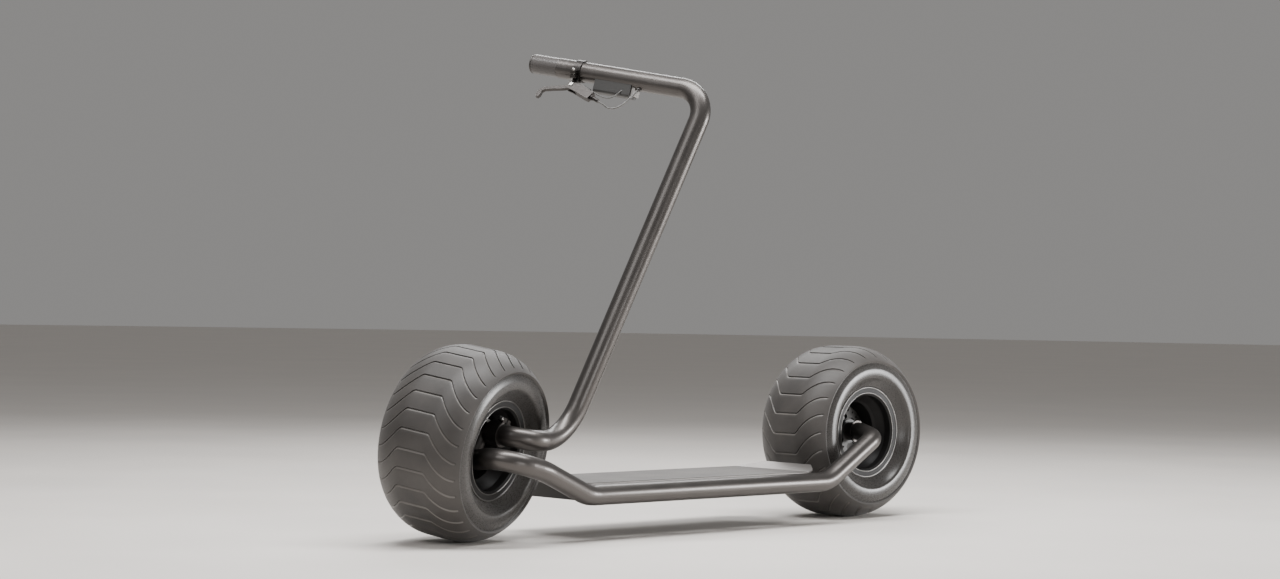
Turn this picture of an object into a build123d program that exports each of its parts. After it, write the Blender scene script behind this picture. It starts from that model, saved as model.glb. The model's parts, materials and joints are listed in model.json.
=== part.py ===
from build123d import *
import os
from math import cos, pi, radians, sin

# Stand-up scooter on two fat tyres. One bent tube on the rider's left carries both wheels
# and the deck, and a second bent tube is stem and handlebar in one.
# Millimetres and degrees. +X is forward, +Y is the rider's left, +Z is up.
# The working origin is on the floor, halfway between the wheels, in the rear wheel's plane.

# Driving dimensions
AXLE_X = 666.5              # half the wheelbase
TYRE_R = 228.6              # 18 in tyre
TREAD_FLAT = 32.0           # half width of the flat centre band of the tread
SHOULDER_Y, SHOULDER_R = 114.0, 191.5
GROOVE_Y, GROOVE_R = 112.0, 187.5
CREST_Y, CREST_R = 116.5, 166.0
SEAT_R = 101.6              # bead seat of an 8 in rim
FLANGE_Y, FLANGE_R = 88.0, 120.0
DISC_Y = -8.0               # left face of the wheel disc
DISC_T = 4.0
DISC_BORE_R = 31.0
BOLT_PITCH_R = 50.8         # four wheel bolts on a 4 in circle
BOLT_R = 6.0
CARCASS = 11.0              # tyre wall
VALVE_STEM = ((0, -50, 95), (0, -56, 88))
VALVE_TIP, VALVE_R = (0, -62, 81), 4.0

TUBE_R, TUBE_WALL = 25.0, 3.0
RAIL_Y, RAIL_Z = 165.0, 110.0
RAIL_CORNER_X = 424.0

RAKE = 29.5                 # kingpin lean from the vertical
REST_STEER = 19.5           # the stored pose is on the left steering stop
KING_Y = 30.0               # kingpin offset to the left of the front wheel's plane
FRONT_LIFT = 4.0            # the steered wheel leans and stands on its tread's shoulder

BAR_X, BAR_Z = -481.5, 889.4    # bar centre from the front wheel's centre, wheels straight
BAR_LEFT, BAR_RIGHT = 252.0, -256.0
GRIP_L = 80.0               # twist grip
COLLAR_L = 29.0             # fixed throttle collar beside the grip
LEVER_DROP = 50.0           # the lever lies this far below the horizontal
POD_DROP = 80.0             # and the electronics pod this far
HOSE_R = 2.5
WIRE_R = 1.6

DECK_FRONT, DECK_CREASE, DECK_TAIL = 400.0, -392.0, -422.0
DECK_RIGHT, DECK_LEFT = -140.0, 131.0
DECK_TOP = 135.0
PLATE_T, MAT_T = 5.0, 1.5
TAIL_RISE = 18.0
DECK_CORNER_R = 22.0

# The exported frame's origin is the middle of the whole scooter's footprint
ORIGIN_X, ORIGIN_Y = 2.0, 7.7

RUNNING = 0.05              # radial clearance of a running fit

KING_DIR = Vector(-sin(radians(RAKE)), 0, cos(radians(RAKE)))
FRONT_CENTRE = Vector(AXLE_X, 0, TYRE_R + FRONT_LIFT)
REAR_CENTRE = Vector(-AXLE_X, 0, TYRE_R)
KING_POINT = FRONT_CENTRE + (Vector(0, 1, 0) * KING_Y).rotate(Axis((0, 0, 0), KING_DIR), REST_STEER)
KING_AXIS = Axis(KING_POINT, KING_DIR)
STRAIGHT_CENTRE = KING_POINT - Vector(0, KING_Y, 0)
# +Z of this plane runs up the kingpin
KING_PLANE = Plane(origin=KING_POINT, x_dir=(0, 1, 0), z_dir=KING_DIR)


# Helpers

def turned(points):
    """A solid of revolution about the Y axis from (y, radius) corners."""
    return revolve(Plane.YZ * make_face(Polyline(*points, close=True)), Axis.Y, 360)


def ring(y0, y1, outer, inner):
    """A ring about the Y axis."""
    return turned([(y0, inner), (y1, inner), (y1, outer), (y0, outer)])


def rod(start, end, radius):
    """A round bar between two points."""
    start, end = Vector(start), Vector(end)
    axis = end - start
    return extrude(Plane(origin=start, z_dir=axis) * Circle(radius), axis.length)


def block(low, high):
    """A box between two corners."""
    size = [b - a for a, b in zip(low, high)]
    middle = [(a + b) / 2 for a, b in zip(low, high)]
    return Pos(*middle) * Box(*size)


def around_wheel(solid, radius, angles):
    """Copies of a solid about the Y axis, each at a radius and an angle."""
    return [Rot(0, a, 0) * Pos(radius, 0, 0) * solid for a in angles]


def hexagon(y0, y1, across):
    """A hexagonal prism along Y."""
    face = RegularPolygon(across / 2, 6, major_radius=False)
    return extrude(Plane(origin=(0, y0, 0), z_dir=(0, 1, 0)) * face, y1 - y0)


def tube(path, outer, inner):
    """A hollow tube along a path."""
    start = Plane(origin=path @ 0, z_dir=path % 0)
    return sweep(start * (Circle(outer) - Circle(inner)), path)


def cord(path, radius):
    """A solid hose or wire along a path."""
    return sweep(Plane(origin=path @ 0, z_dir=path % 0) * Circle(radius), path)


def group(solids):
    """Separate solids that share one node."""
    return Compound([solid for piece in solids for solid in piece.solids()])


def joined(first, *others):
    """Solids fused into one."""
    return first.fuse(*others).clean()


# Wheels, about the wheel's own centre, with the axle along Y

def tyre():
    crown = Line((0, TYRE_R), (TREAD_FLAT, TYRE_R))
    shoulder = TangentArc((TREAD_FLAT, TYRE_R), (SHOULDER_Y, SHOULDER_R), tangent=(1, 0))
    wall = Polyline((SHOULDER_Y, SHOULDER_R), (GROOVE_Y, GROOVE_R))
    crest = ThreePointArc((GROOVE_Y, GROOVE_R), (CREST_Y - 1, (GROOVE_R + CREST_R) / 2), (CREST_Y, CREST_R))
    bulge = ThreePointArc((CREST_Y, CREST_R), (CREST_Y - 1, CREST_R - 6), (CREST_Y - 4, CREST_R - 11))
    dish = ThreePointArc((CREST_Y - 4, CREST_R - 11), (99, 136), (FLANGE_Y + 4, FLANGE_R + 3))
    bead = Polyline(
        (FLANGE_Y + 4, FLANGE_R + 3),
        (FLANGE_Y, FLANGE_R),
        (FLANGE_Y, SEAT_R + 3),
        (FLANGE_Y - 3, SEAT_R),
        (FLANGE_Y - 20, SEAT_R),
        (FLANGE_Y - 16, SEAT_R + 12),
    )
    liner = ThreePointArc(
        (FLANGE_Y - 16, SEAT_R + 12), (CREST_Y - CARCASS, CREST_R), (SHOULDER_Y - 2 * CARCASS, SHOULDER_R)
    )
    roof = Polyline(
        (SHOULDER_Y - 2 * CARCASS, SHOULDER_R),
        (TREAD_FLAT, TYRE_R - CARCASS),
        (0, TYRE_R - CARCASS),
        (0, TYRE_R),
    )
    half = make_face(Curve() + [crown, shoulder, wall, crest, bulge, dish, bead, liner, roof])
    section = Plane.YZ * (half + mirror(half, Plane.YZ))
    return revolve(section, Axis.Y, 360)


def rim_half(side, grow):
    """One side's outline of the rim sheet, from the flange to the well. grow is 0 on the tyre side."""
    outside = [(88, 120), (88, 104.6), (85, 101.6), (66, 101.6), (61, 99), (46, 88.5), (40, 82.5)]
    inside = [(91, 120), (91, 106), (86, 98.6), (67, 98.6), (63, 96.2), (47, 84.8), (41, 79)]
    return [(side * y, r) for y, r in (inside if grow else outside)]


def rim():
    outline = rim_half(1, 0) + rim_half(-1, 0)[::-1] + rim_half(-1, 1) + rim_half(1, 1)[::-1]
    barrel = turned(outline)
    disc = ring(DISC_Y - DISC_T, DISC_Y, 80, DISC_BORE_R)
    hole = rod((0, DISC_Y - 10, 0), (0, DISC_Y + 10, 0), BOLT_R)
    holes = around_wheel(hole, BOLT_PITCH_R, (45, 135, 225, 315))
    valve_hole = rod(*VALVE_STEM, VALVE_R)
    return joined(barrel, disc) - holes - valve_hole


def valve():
    """Tyre valve through the rim's right cone, and its cap."""
    return rod(*VALVE_STEM, VALVE_R) + rod(VALVE_STEM[1], VALVE_TIP, VALVE_R + 0.8)


def wheel_bolts(tip_y):
    """Four hexagon bolts, heads on the left of the disc."""
    bolt = hexagon(DISC_Y, DISC_Y + 8, 18) + rod((0, tip_y, 0), (0, DISC_Y, 0), BOLT_R)
    return group(around_wheel(bolt, BOLT_PITCH_R, (45, 135, 225, 315)))


def wheel_bolts_and_nuts(y1):
    """The front wheel's bolts, with a nut on each at the right of the hub's flange."""
    nut = hexagon(y1 - 10, y1, 18) - rod((0, y1 - 12, 0), (0, y1 + 2, 0), BOLT_R)
    nuts = around_wheel(nut, BOLT_PITCH_R, (45, 135, 225, 315))
    return group([wheel_bolts(y1 - 11), *nuts])


# Front wheel and its stub axle

AXLE_R = 12.5
BEARING_R = 23.5
BEARING_W = 12.0
HUB_LEFT, HUB_RIGHT = 2.0, -58.0
AXLE_LEFT = 9.0             # the stub axle's flange meets the knuckle here
AXLE_END = -76.0


def front_hub():
    spool = turned([
        (HUB_LEFT, BEARING_R),
        (HUB_LEFT, 29),
        (DISC_Y + 8, 30),
        (DISC_Y, 30.8),
        (DISC_Y - DISC_T, 30.8),
        (DISC_Y - DISC_T, 62),
        (DISC_Y - DISC_T - 7, 62),
        (DISC_Y - DISC_T - 7, 40),
        (DISC_Y - DISC_T - 14, 32),
        (HUB_RIGHT + 14, 29),
        (HUB_RIGHT, 29),
        (HUB_RIGHT, BEARING_R),
        (HUB_RIGHT + BEARING_W, BEARING_R),
        (HUB_RIGHT + BEARING_W, 18),
        (HUB_LEFT - BEARING_W, 18),
        (HUB_LEFT - BEARING_W, BEARING_R),
    ])
    hole = rod((0, DISC_Y - 20, 0), (0, DISC_Y, 0), BOLT_R)
    return spool - around_wheel(hole, BOLT_PITCH_R, (45, 135, 225, 315))


def hub_bearings(left, right):
    """Two sealed ball bearings as rings, pressed into the hub."""
    bore = AXLE_R + RUNNING
    return group([
        ring(left - BEARING_W, left, BEARING_R, bore),
        ring(right, right + BEARING_W, BEARING_R, bore),
    ])


def dust_cap(y):
    """Domed cap over the axle nut, on the right of a hub."""
    return turned([
        (y, 29), (y, 26), (y - 22, 25), (y - 30, 20), (y - 33, 0), (y - 36, 0), (y - 33, 22), (y - 24, 28)
    ])


def front_axle():
    return turned([
        (AXLE_LEFT, 0), (AXLE_LEFT, 18), (AXLE_LEFT - 5, 18), (AXLE_LEFT - 5, AXLE_R),
        (HUB_RIGHT - 3, AXLE_R), (HUB_RIGHT - 3, 9), (AXLE_END, 9), (AXLE_END, 0)
    ])


def axle_nut(y1):
    """Nut and washer on the end of a stub axle."""
    return hexagon(y1 - 10, y1 - 2, 26) + ring(y1 - 2, y1, 15, 9) - rod((0, y1 - 12, 0), (0, y1 + 1, 0), 9)


# Kingpin, at the front end of the rail. Heights are along the kingpin from KING_POINT.

PIN_R = 9.0
LUG_LOW, LUG_HIGH = -56.0, -21.0
BARREL_LOW, BARREL_HIGH = -18.0, 58.0
BARREL_R = 19.0
BUSH_R = 12.0
BUSH_L = 20.0
LUG_R = 21.0
THRUST_GAP = 0.3
STEM_T = 42.5               # where the stem meets the knuckle
COLLAR_R, COLLAR_END = 30.0, 30.0   # the knuckle's clamp round the stem
CLAMP_BOLT_R = 3.0


def on_king(height0, height1, outer, inner=0):
    """A cylinder or ring on the kingpin's axis."""
    face = Circle(outer) - Circle(inner) if inner else Circle(outer)
    return extrude(KING_PLANE.offset(height0) * face, height1 - height0)


def king(height):
    return KING_POINT + KING_DIR * height


# Corners of the rail beyond its straight run. The front rise bows outwards past the steered tyre.
RAIL_FRONT = king((LUG_LOW + LUG_HIGH) / 2) + Vector(0, 34, 3)
FRONT_TURN = Vector(735, 200, 212)
FRONT_RISE = Vector(600, 203, 177)
REAR_TURN = Vector(-623, 151, 217)      # leans in towards the wheel
RAIL_REAR = Vector(7 - AXLE_X, 72, TYRE_R)
ELBOW_R = 34.0              # the rail's tight elbow into the rear wheel


def rail_path():
    return FilletPolyline(
        RAIL_FRONT,
        FRONT_TURN,
        FRONT_RISE,
        (RAIL_CORNER_X, RAIL_Y, RAIL_Z),
        (-RAIL_CORNER_X, RAIL_Y, RAIL_Z),
        REAR_TURN,
        RAIL_REAR,
        radius=[60, 150, 110, 110, ELBOW_R],
    )


def frame_rail(path):
    rail = tube(path, TUBE_R, TUBE_R - TUBE_WALL)
    exit_hole = rod(pipe_exit(), pipe_exit() - Vector(0, 0, 2 * TUBE_R), HOSE_R + 2)
    return rail - exit_hole


def kingpin_lug(path):
    """Boss at the rail's front end that holds the kingpin, with a spigot inside the tube."""
    start, inward = path @ 0, path % 0
    boss = on_king(LUG_LOW, LUG_HIGH, LUG_R)
    spigot = rod(start, start + inward * 22, TUBE_R - TUBE_WALL)
    neck = rod(start - inward * 34, start, TUBE_R - TUBE_WALL)
    above = on_king(LUG_HIGH, LUG_HIGH + 30, 33)
    below = on_king(LUG_LOW - 30, LUG_LOW, 26)
    return joined(boss, spigot, neck) - above - below - on_king(LUG_LOW - 1, LUG_HIGH + 1, PIN_R)


def kingpin():
    pin = on_king(LUG_LOW - 4, BARREL_HIGH + 11, PIN_R)
    return pin + on_king(LUG_LOW - 7, LUG_LOW, 14)


def kingpin_hardware():
    """Thrust washer under the knuckle, and the washer and nut above it. They stay with the pin."""
    thrust = on_king(LUG_HIGH, BARREL_LOW - THRUST_GAP, 17, PIN_R)
    washer = on_king(BARREL_HIGH + THRUST_GAP, BARREL_HIGH + 2, 15, PIN_R)
    face = RegularPolygon(13, 6, major_radius=False) - Circle(PIN_R)
    nut = extrude(KING_PLANE.offset(BARREL_HIGH + 2) * face, 8)
    return group([thrust, washer + nut])


def kingpin_bushes():
    bore = PIN_R + RUNNING
    return group([
        on_king(BARREL_LOW, BARREL_LOW + BUSH_L, BUSH_R, bore),
        on_king(BARREL_HIGH - BUSH_L, BARREL_HIGH, BUSH_R, bore),
    ])


def steering_knuckle(path):
    """Barrel on the kingpin, a pad for the stub axle and a spigot for the stem, wheels straight."""
    start, outward = path @ 0, path % 0
    barrel = on_king(BARREL_LOW, BARREL_HIGH, BARREL_R)
    pad = rod(
        STRAIGHT_CENTRE + Vector(0, AXLE_LEFT, 0), STRAIGHT_CENTRE + Vector(0, KING_Y, 0), 17.5
    )
    neck = rod(start - outward * 30, start, TUBE_R - TUBE_WALL)
    spigot = rod(start, start + outward * 22, TUBE_R - TUBE_WALL)
    body = joined(barrel, pad, neck, spigot)
    outside = on_king(BARREL_HIGH, BARREL_HIGH + 60, 60) + on_king(BARREL_LOW - 60, BARREL_LOW, 60)
    bush_seats = on_king(BARREL_LOW - 1, BARREL_HIGH + 1, BUSH_R)
    pipe_way = rod(start, start + outward * 23, HOSE_R + 1)
    collar = rod(start - outward * 6, start + outward * COLLAR_END, COLLAR_R)
    collar = collar - rod(start, start + outward * (COLLAR_END + 1), TUBE_R)
    ears, slit, bolt_lines, _ = stem_clamp(start, outward)
    return joined(body - outside, collar, ears) - slit - bolt_lines - bush_seats - pipe_way


def stem_clamp(start, outward):
    """The knuckle's split clamp round the stem: its ears, its slit, its bolt holes and its bolts."""
    up = Plane(origin=start, x_dir=KING_DIR, z_dir=outward)
    lean = up.rotated((0, 0, -30))
    ears = lean * block((COLLAR_R - 2, -9, 2), (COLLAR_R + 12, 9, COLLAR_END - 2))
    slit = lean * block((TUBE_R - 4, -1.5, -0.5), (COLLAR_R + 20, 1.5, COLLAR_END + 1))
    holes, bolts = [], []
    out = COLLAR_R + 6
    for along in (COLLAR_END * 0.28, COLLAR_END * 0.72):
        hole = rod((out, -9, along), (out, 9, along), CLAMP_BOLT_R)
        head = rod((out, 9, along), (out, 14, along), 5)
        socket = rod((out, 11, along), (out, 15, along), 2.4)
        holes.append(lean * hole)
        bolts.append(lean * (joined(hole, head) - socket))
    return ears, slit, holes, bolts


def stem_clamp_bolts(path):
    return stem_clamp(path @ 0, path % 0)[3]


# Stem and handlebar, in the straight-ahead pose

def from_wheel(x, y, z):
    return STRAIGHT_CENTRE + Vector(x, y, z)


STEM_START = KING_POINT + KING_DIR * STEM_T + Vector(0, 32, 0)


def stem_points():
    low, high = from_wheel(-6, 160, 38), from_wheel(-181.5, 160, 27)
    return [STEM_START, low, high, from_wheel(BAR_X, BAR_LEFT, BAR_Z)]


def stem_path():
    bar_tip = from_wheel(BAR_X, BAR_RIGHT + GRIP_L + COLLAR_L, BAR_Z)
    return FilletPolyline(*stem_points(), bar_tip, radius=[60, 125, 70])


def bar(y, radius=0, drop=0.0, side=0.0):
    """A point beside the bar: y along it, radius away at an angle below forward, side across."""
    a = radians(drop)
    out = Vector(cos(a), 0, -sin(a)) * radius
    across = Vector(sin(a), 0, cos(a)) * side
    return from_wheel(BAR_X, y, BAR_Z) + out + across


def bar_rod(y0, y1, radius):
    return rod(bar(y0), bar(y1), radius)


def handlebar(path):
    """Stem and bar in one tube, with the hole for the hose's grommet."""
    main = tube(path, TUBE_R, TUBE_R - TUBE_WALL)
    return main - rod(grommet_point(-12), grommet_point(12), HOSE_R + 2)


GRIP_CORE_R = 16.0
GRIP_R = 24.2


def grip_core():
    """Stepped spigot that carries the twist grip beyond the tube's end."""
    tube_end = BAR_RIGHT + GRIP_L + COLLAR_L
    plug = bar_rod(tube_end, tube_end + 30, TUBE_R - TUBE_WALL)
    core = bar_rod(BAR_RIGHT + 4, tube_end, GRIP_CORE_R)
    return plug + core - bar_rod(BAR_RIGHT, tube_end + 31, GRIP_CORE_R - 4)


def throttle_collar():
    """Fixed housing of the twist grip's sensor."""
    y0 = BAR_RIGHT + GRIP_L + 0.4
    y1 = BAR_RIGHT + GRIP_L + COLLAR_L
    return bar_rod(y0, y1, TUBE_R) - bar_rod(y0 - 1, y1 + 1, GRIP_CORE_R)


def twist_grip():
    y0, y1 = BAR_RIGHT + 4.4, BAR_RIGHT + GRIP_L
    sleeve = bar_rod(y0, y1, GRIP_R) - bar_rod(y0 - 1, y1 + 1, GRIP_CORE_R + RUNNING)
    return fillet(sleeve.edges().filter_by(GeomType.CIRCLE).group_by(SortBy.RADIUS)[-1], 1.5)


def bar_end_cap():
    cap = bar_rod(BAR_RIGHT, BAR_RIGHT + 4, GRIP_R)
    stub = bar_rod(BAR_RIGHT + 4, BAR_RIGHT + 16, GRIP_CORE_R - 4)
    return fillet(cap.edges().group_by(Axis.Y)[0], 2.5) + stub


# Brake lever, in a plane that holds the bar's centre line

LEVER_SIN, LEVER_COS = sin(radians(LEVER_DROP)), cos(radians(LEVER_DROP))
PIVOT = (-116.0, 51.0)      # along the bar, away from its centre line
NUT_START, NUT_END = (-49.0, 74.0), (-25.0, 83.0)
HOSE_GRIP = 12.0            # length of hose inside the nut
PISTON_START, CYLINDER_END = (-96.0, 50.0), (-68.0, 60.5)
PISTON_R, PISTON_L = 4.0, 14.0
PUSH_ROD_R, PUSH_ROD_L = 2.0, 12.6
SWITCH_START, SWITCH_END, SWITCH_R = (-83.8, 45.5), (-62.0, 54.1), 3.6
CLAMP_Y0, CLAMP_Y1 = -125.0, -105.0
CLAMP_R = 28.0
CLAMP_MOUTH = 12.0          # the clamp's ears point this far below forward

# The hose leaves the nut, loops under the bar and enters it; the wire runs from the switch to the pod
HOSE_LOOP = ((-6.0, 90.0), (13.0, 100.5), (34.0, 95.0), (50.0, 73.0))
HOSE_ENTRY = (72.0, 0.0)    # where the hose's way meets the bar's centre line
HOSE_END = 18.9             # from there out to the end of the flexible hose
PIPE_BEND = 25.0
WIRE_ROUTE = (SWITCH_END, (-36.0, 64.5), (-6.0, 71.0), (12.0, 60.0), (21.0, 37.0))
BODY_HALF = 8.0
SLOT_HALF = 4.8
BLADE_HALF = 4.4


def lever_plane():
    normal = Vector(-LEVER_SIN, 0, -LEVER_COS)
    return Plane(origin=from_wheel(BAR_X, 0, BAR_Z), x_dir=(0, 1, 0), z_dir=normal)


def lever_slab(face, half):
    """A face in the lever's plane, made half thick each way."""
    return extrude(lever_plane() * face, half, both=True)


def lever_point(y, away, side=0.0):
    return bar(y, away, LEVER_DROP, side)


def polygon(*points):
    return make_face(Polyline(*points, close=True))


def clamp_ears():
    """Two ears of the pinch clamp, as boxes on the bar's front."""
    plane = Plane(
        origin=bar((CLAMP_Y0 + CLAMP_Y1) / 2), x_dir=(0, 1, 0),
        z_dir=Vector(sin(radians(CLAMP_MOUTH)), 0, cos(radians(CLAMP_MOUTH))),
    )
    ears = plane * (Pos(0, -33, 0) * Box(15, 18, 19))
    slit = plane * (Pos(0, -33, 0) * Box(30, 26, 2.4))
    bolt_line = plane * (Pos(0, -36.5, 0) * Cylinder(2.5, 60))
    head = plane * (Pos(0, -36.5, 12) * Cylinder(4.5, 5))
    shank = plane * (Pos(0, -36.5, 0) * Cylinder(2.5, 19))
    return ears, slit, bolt_line, head + shank


def lever_bracket():
    ears, slit, bolt_line, _ = clamp_ears()
    grip_ring = bar_rod(CLAMP_Y0, CLAMP_Y1, CLAMP_R)
    body = lever_slab(
        polygon(
            (-122, 22), (-107, 22), (-103, 40), (-92, 45), (-52, 61.5),
            (-45, 63), (-53, 85), (-62, 83), (-108, 66), (-125, 62), (-128, 44)
        ),
        BODY_HALF,
    )
    slot = lever_slab(
        polygon((-140, 38.5), (-106, 38.5), (-99, 45.5), (-92, 56), (-96, 75), (-140, 75)), SLOT_HALF
    )
    bore = bar_rod(CLAMP_Y0 - 20, CLAMP_Y1 + 40, TUBE_R + 0.02)
    pin_hole = rod(lever_point(*PIVOT, -12), lever_point(*PIVOT, 12), 3)
    start, end = piston_line()
    cylinder = rod(start - piston_direction() * 3, end, PISTON_R + RUNNING)
    nut_seat = rod(lever_point(*NUT_START), lever_point(*NUT_END), 9)
    body = joined(grip_ring, body, ears) - slit - slot - bore - bolt_line - pin_hole
    return body - cylinder - nut_seat - brake_switch()


def lever_clamp_bolt():
    return clamp_ears()[3]


def pivot_pin():
    shank = rod(lever_point(*PIVOT, -BODY_HALF), lever_point(*PIVOT, BODY_HALF), 3)
    head = rod(lever_point(*PIVOT, BODY_HALF), lever_point(*PIVOT, BODY_HALF + 2.5), 5)
    clip = rod(lever_point(*PIVOT, -BODY_HALF - 1.5), lever_point(*PIVOT, -BODY_HALF), 4.5)
    return shank + head + clip


def brake_lever():
    """Two-finger-and-more blade with a hooked tip, on its pivot."""
    blade = polygon(
        (-120, 45), (-112, 45), (-110, 52), (-114, 58), (-138, 66), (-160, 71), (-182, 77),
        (-187, 83), (-186, 96), (-190, 103), (-196, 102), (-198, 94), (-196, 80),
        (-190, 71), (-162, 62), (-140, 56), (-124, 50)
    )
    solid = lever_slab(blade, BLADE_HALF)
    eye = lever_slab(Pos(*PIVOT) * Circle(8), BLADE_HALF)
    lobe = lever_slab(Pos(PIVOT[0] + 5.87, PIVOT[1] - 7.45) * Circle(2.5), BLADE_HALF)
    hole = lever_slab(Pos(*PIVOT) * Circle(3 + RUNNING), 12)
    return joined(solid, eye, lobe) - hole


def piston_line():
    """Both ends of the cylinder's axis."""
    return lever_point(*PISTON_START), lever_point(*CYLINDER_END)


def piston_direction():
    start, end = piston_line()
    return (end - start).normalized()


def master_piston():
    """Piston in the body's cylinder, with the push rod that the lever's lobe presses."""
    start, _ = piston_line()
    along = piston_direction()
    piston = rod(start, start + along * PISTON_L, PISTON_R)
    return joined(piston, rod(start - along * PUSH_ROD_L, start, PUSH_ROD_R))


def hose_nut():
    """Compression nut and its collar, at the end of the lever's body."""
    start, end = lever_point(*NUT_START), lever_point(*NUT_END)
    along = (end - start).normalized()
    barrel = rod(start, end, 5)
    collar = rod(start + along * 3, start + along * 7, 7)
    return joined(barrel, collar) - rod(end - along * HOSE_GRIP, end + along, HOSE_R)


def brake_switch():
    """Motor cut-off switch beside the lever's body."""
    return rod(lever_point(*SWITCH_START), lever_point(*SWITCH_END), SWITCH_R)


def report_cord(name, radii, path, solid, radius):
    print(name, "radii", radii, "length", round(path.length, 1))
    print("  volume over section times length", round(solid.volume / (path.length * pi * radius ** 2), 4))


def brake_hose():
    """Flexible hose from the lever's nut, in a loop under the bar, into the bar through its grommet."""
    along = (Vector(*NUT_END) - Vector(*NUT_START)).normalized()
    inside = Vector(*NUT_END) - along * HOSE_GRIP
    points = [lever_point(inside.X, inside.Y), *[lever_point(*point) for point in HOSE_LOOP], hose_end()]
    radii = [40, 25, 25, 45]
    path = FilletPolyline(*points, radius=radii)
    solid = cord(path, HOSE_R)
    report_cord("brake hose", radii, path, solid, HOSE_R)
    return solid


def hose_way():
    """The straight way through the bar's wall, from the bar's centre line outwards."""
    return lever_point(*HOSE_ENTRY), lever_point(*HOSE_LOOP[-1])


def hose_end():
    """Where the hose ends inside the bar and the pipe in the stem begins."""
    low, high = hose_way()
    return low + (high - low).normalized() * HOSE_END


def stem_brake_pipe():
    """Formed pipe inside the bar and the stem."""
    points = [hose_end(), lever_point(*HOSE_ENTRY), *stem_points()[::-1]]
    radii = [PIPE_BEND, 70, 125, 60]
    path = FilletPolyline(*points, radius=radii)
    solid = cord(path, HOSE_R)
    report_cord("stem brake pipe", radii, path, solid, HOSE_R)
    return solid


def grommet_point(offset):
    """A point on the hose's way through the bar's wall, offset outwards from the surface."""
    low, high = hose_way()
    outward = (high - low).normalized()
    across = (lever_point(0, 1) - lever_point(0, 0)).normalized()
    return low + outward * (TUBE_R / outward.dot(across) + offset)


def hose_grommet():
    inner, outer = grommet_point(-TUBE_WALL - 1), grommet_point(2)
    sleeve = rod(inner, outer, HOSE_R + 2)
    flange = rod(grommet_point(1), grommet_point(4), HOSE_R + 3.5) - bar_rod(0, BAR_LEFT, TUBE_R)
    return joined(sleeve, flange) - rod(grommet_point(-20), grommet_point(20), HOSE_R)


def switch_wire():
    radii = [40, 24, 16]
    path = FilletPolyline(*[lever_point(*point) for point in WIRE_ROUTE], radius=radii)
    solid = cord(path, WIRE_R)
    report_cord("switch wire", radii, path, solid, WIRE_R)
    return solid


# Electronics pod under the bar

POD_Y0, POD_Y1 = -60.0, 44.0
POD_DEPTH = 47.0
POD_HALF = 20.0


def pod_box(y0, y1, depth0, depth1, half):
    a = radians(POD_DROP)
    plane = Plane(origin=bar(0), x_dir=(0, 1, 0), z_dir=Vector(cos(a), 0, -sin(a)))
    box = Box(y1 - y0, 2 * half, depth1 - depth0)
    return plane * (Pos((y0 + y1) / 2, 0, (depth0 + depth1) / 2) * box)


def bar_pod():
    shell = pod_box(POD_Y0, POD_Y1, 8, POD_DEPTH, POD_HALF)
    shell = fillet(shell.edges().group_by(SortBy.LENGTH)[-1], 7)
    inside = pod_box(POD_Y0 + 3, POD_Y1 - 3, 27.5, POD_DEPTH - 3, POD_HALF - 4)
    wire_way = rod(lever_point(*WIRE_ROUTE[-2]), lever_point(*WIRE_ROUTE[-1]), WIRE_R)
    return shell - inside - bar_rod(-100, 100, TUBE_R) - wire_way


def pod_end_cap():
    """Plug block at the pod's left end."""
    cap = pod_box(POD_Y1, POD_Y1 + 9, 20, POD_DEPTH - 6, POD_HALF - 6)
    return cap - bar_rod(-100, 100, TUBE_R)


# Rear wheel, hub motor and brake, about the rear wheel's centre

MOTOR_LEFT, MOTOR_RIGHT = DISC_Y - DISC_T, -74.0
MOTOR_R = 74.0
ROTOR_Y, ROTOR_T, ROTOR_R = 10.0, 2.4, 66.0
REAR_AXLE_END = -98.0
PAD_GAP = 1.2
INLET_LEFT = 36.0
INLET_DROP = 60.0            # the brake line drops this far below the axle
CALIPER_ANGLE = 62.0        # below forward, seen from the left


def motor_case():
    """Rotor shell of the hub motor, with a neck through the wheel's disc for the brake rotor."""
    case = turned([
        (ROTOR_Y, 18), (ROTOR_Y, BEARING_R + 6), (MOTOR_LEFT, BEARING_R + 6), (MOTOR_LEFT, MOTOR_R),
        (MOTOR_RIGHT + 6, MOTOR_R), (MOTOR_RIGHT + 6, MOTOR_R - 5), (MOTOR_LEFT - 12, MOTOR_R - 5),
        (MOTOR_LEFT - 12, BEARING_R), (MOTOR_LEFT - 12 + BEARING_W, BEARING_R), (MOTOR_LEFT, 18)
    ])
    hole = rod((0, MOTOR_LEFT - 10, 0), (0, MOTOR_LEFT + 1, 0), BOLT_R)
    screw = rod((0, ROTOR_Y - 8, 0), (0, ROTOR_Y + 1, 0), 2)
    case = case - around_wheel(hole, BOLT_PITCH_R, (45, 135, 225, 315))
    return case - around_wheel(screw, 24, range(0, 360, 72))


def motor_cover():
    cover = turned([
        (MOTOR_RIGHT + 6, BEARING_R + 6), (MOTOR_RIGHT + 6, MOTOR_R), (MOTOR_RIGHT, MOTOR_R),
        (MOTOR_RIGHT - 5, 60), (MOTOR_RIGHT - 8, BEARING_R + 6), (MOTOR_RIGHT - 8, 18),
        (MOTOR_RIGHT - 4, 18), (MOTOR_RIGHT - 4, BEARING_R), (MOTOR_RIGHT + 8, BEARING_R),
        (MOTOR_RIGHT + 8, BEARING_R + 6)
    ])
    return cover - cover_screws()


def cover_screws():
    screw = rod((0, MOTOR_RIGHT - 4, 0), (0, MOTOR_RIGHT, 0), 4)
    return around_wheel(screw, 69, range(0, 360, 60))


def motor_magnets():
    return ring(-58, -26, MOTOR_R - 5, MOTOR_R - 9)


def motor_stator():
    """Wound core, fixed on the axle inside the magnets."""
    return ring(-56, -28, MOTOR_R - 10, AXLE_R)


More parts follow.
